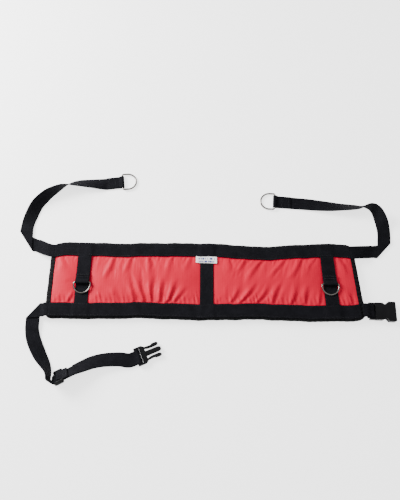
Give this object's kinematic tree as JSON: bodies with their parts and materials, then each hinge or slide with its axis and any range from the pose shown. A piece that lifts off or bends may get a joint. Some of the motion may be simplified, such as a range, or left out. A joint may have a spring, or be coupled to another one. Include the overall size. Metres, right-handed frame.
{
  "type": "gait belt",
  "caption": "Padded gait belt lying open: red quilted pad with black webbing borders, vertical straps with D-rings, free straps, tri-glide and side-release buckle.",
  "frame": {"origin": "on the pad's flat underside, in line with the centre strap, halfway up the pad", "axes": "+X along the belt towards the female buckle, +Y towards the pad's upper edge, +Z out of the red face"},
  "size_m": [0.719, 0.4194, 0.027],
  "materials": {
    "shell": "red nylon pack cloth, softly puckered",
    "lining": "black nylon lining",
    "foam": "soft padding",
    "binding": "black woven binding tape",
    "webbing": "black woven nylon webbing",
    "ring": "nickel-plated steel wire",
    "buckle": "black acetal, satin",
    "label": "white satin label tape",
    "thread": "black nylon thread"
  },
  "bodies": {
    "pad": {"back_lining": "lining", "foam_core": "foam", "front_shell": "shell", "binding_top": "binding", "binding_bottom": "binding", "binding_left": "binding", "binding_right": "binding", "top_webbing": "webbing", "bottom_webbing": "webbing", "left_strap": "webbing", "centre_strap": "webbing", "right_strap": "webbing", "care_label": "label", "left_ring_loop": "webbing", "right_ring_loop": "webbing", "left_bar_tacks": "thread", "right_bar_tacks": "thread", "female_buckle_tab": "webbing", "upper_left_root": "webbing", "upper_right_root": "webbing", "lower_left_root": "webbing"},
    "left_front_ring": {"left_front_ring": "ring"},
    "right_front_ring": {"right_front_ring": "ring"},
    "upper_left_strap": {"upper_left_strap": "webbing", "upper_left_bar_tacks": "thread"},
    "upper_left_end_ring": {"upper_left_end_ring": "ring"},
    "upper_right_strap": {"upper_right_strap": "webbing", "upper_right_bar_tacks": "thread"},
    "upper_right_end_ring": {"upper_right_end_ring": "ring"},
    "lower_left_strap": {"lower_left_strap": "webbing", "lower_left_return": "webbing"},
    "tri_glide": {"tri_glide": "buckle", "strap_end": "webbing"},
    "male_buckle": {"male_buckle": "buckle"},
    "male_arm_left": {"male_arm_left": "buckle"},
    "male_arm_right": {"male_arm_right": "buckle"},
    "female_buckle": {"female_buckle": "buckle"}
  },
  "joints": [
    {"name": "left_front_ring_hinge", "type": "hinge", "parent": "pad", "child": "left_front_ring", "pos_m": [-0.23, -0.0065, 0.0158], "axis": [-1, 0, 0], "range_deg": [0, 160]},
    {"name": "right_front_ring_hinge", "type": "hinge", "parent": "pad", "child": "right_front_ring", "pos_m": [0.228, -0.0065, 0.0158], "axis": [-1, 0, 0], "range_deg": [0, 160]},
    {"name": "upper_left_strap_lift", "type": "hinge", "parent": "pad", "child": "upper_left_strap", "pos_m": [-0.34953, 0.10145, 0.003], "axis": [0.9976, 0.0698, 0], "range_deg": [0, 90]},
    {"name": "upper_left_end_ring_hinge", "type": "hinge", "parent": "upper_left_strap", "child": "upper_left_end_ring", "pos_m": [-0.17024, 0.2075, 0.0034], "axis": [0.1219, -0.9925, 0], "range_deg": [0, 150]},
    {"name": "upper_right_strap_lift", "type": "hinge", "parent": "pad", "child": "upper_right_strap", "pos_m": [0.34099, 0.0844, 0.003], "axis": [0.9945, -0.1045, 0], "range_deg": [0, 90]},
    {"name": "upper_right_end_ring_hinge", "type": "hinge", "parent": "upper_right_strap", "child": "upper_right_end_ring", "pos_m": [0.13458, 0.16643, 0.0034], "axis": [0.0698, 0.9976, 0], "range_deg": [0, 150]},
    {"name": "lower_left_strap_lift", "type": "hinge", "parent": "pad", "child": "lower_left_strap", "pos_m": [-0.31504, -0.07342, 0.0055], "axis": [-0.9945, -0.1045, 0], "range_deg": [0, 90]},
    {"name": "tri_glide_slide", "type": "slide", "parent": "lower_left_strap", "child": "tri_glide", "axis": [0.891, 0.454, 0], "range_m": [0, 0.008]},
    {"name": "male_buckle_tilt", "type": "hinge", "parent": "lower_left_strap", "child": "male_buckle", "pos_m": [-0.1195, -0.1395, 0.0037], "axis": [0.3907, -0.9205, 0], "range_deg": [0, 75]},
    {"name": "male_arm_left_flex", "type": "hinge", "parent": "male_buckle", "child": "male_arm_left", "pos_m": [-0.11121, -0.12447, 0.0037], "axis": [0, 0, -1], "range_deg": [0, 5], "stiffness_Nm_per_rad": 0.02},
    {"name": "male_arm_right_flex", "type": "hinge", "parent": "male_buckle", "child": "male_arm_right", "pos_m": [-0.10293, -0.14398, 0.0037], "axis": [0, 0, 1], "range_deg": [0, 5], "stiffness_Nm_per_rad": 0.02},
    {"name": "female_buckle_tilt", "type": "hinge", "parent": "pad", "child": "female_buckle", "pos_m": [0.3036, -0.0548, 0.0055], "axis": [-0.0262, -0.9997, 0], "range_deg": [0, 60]}
  ]
}
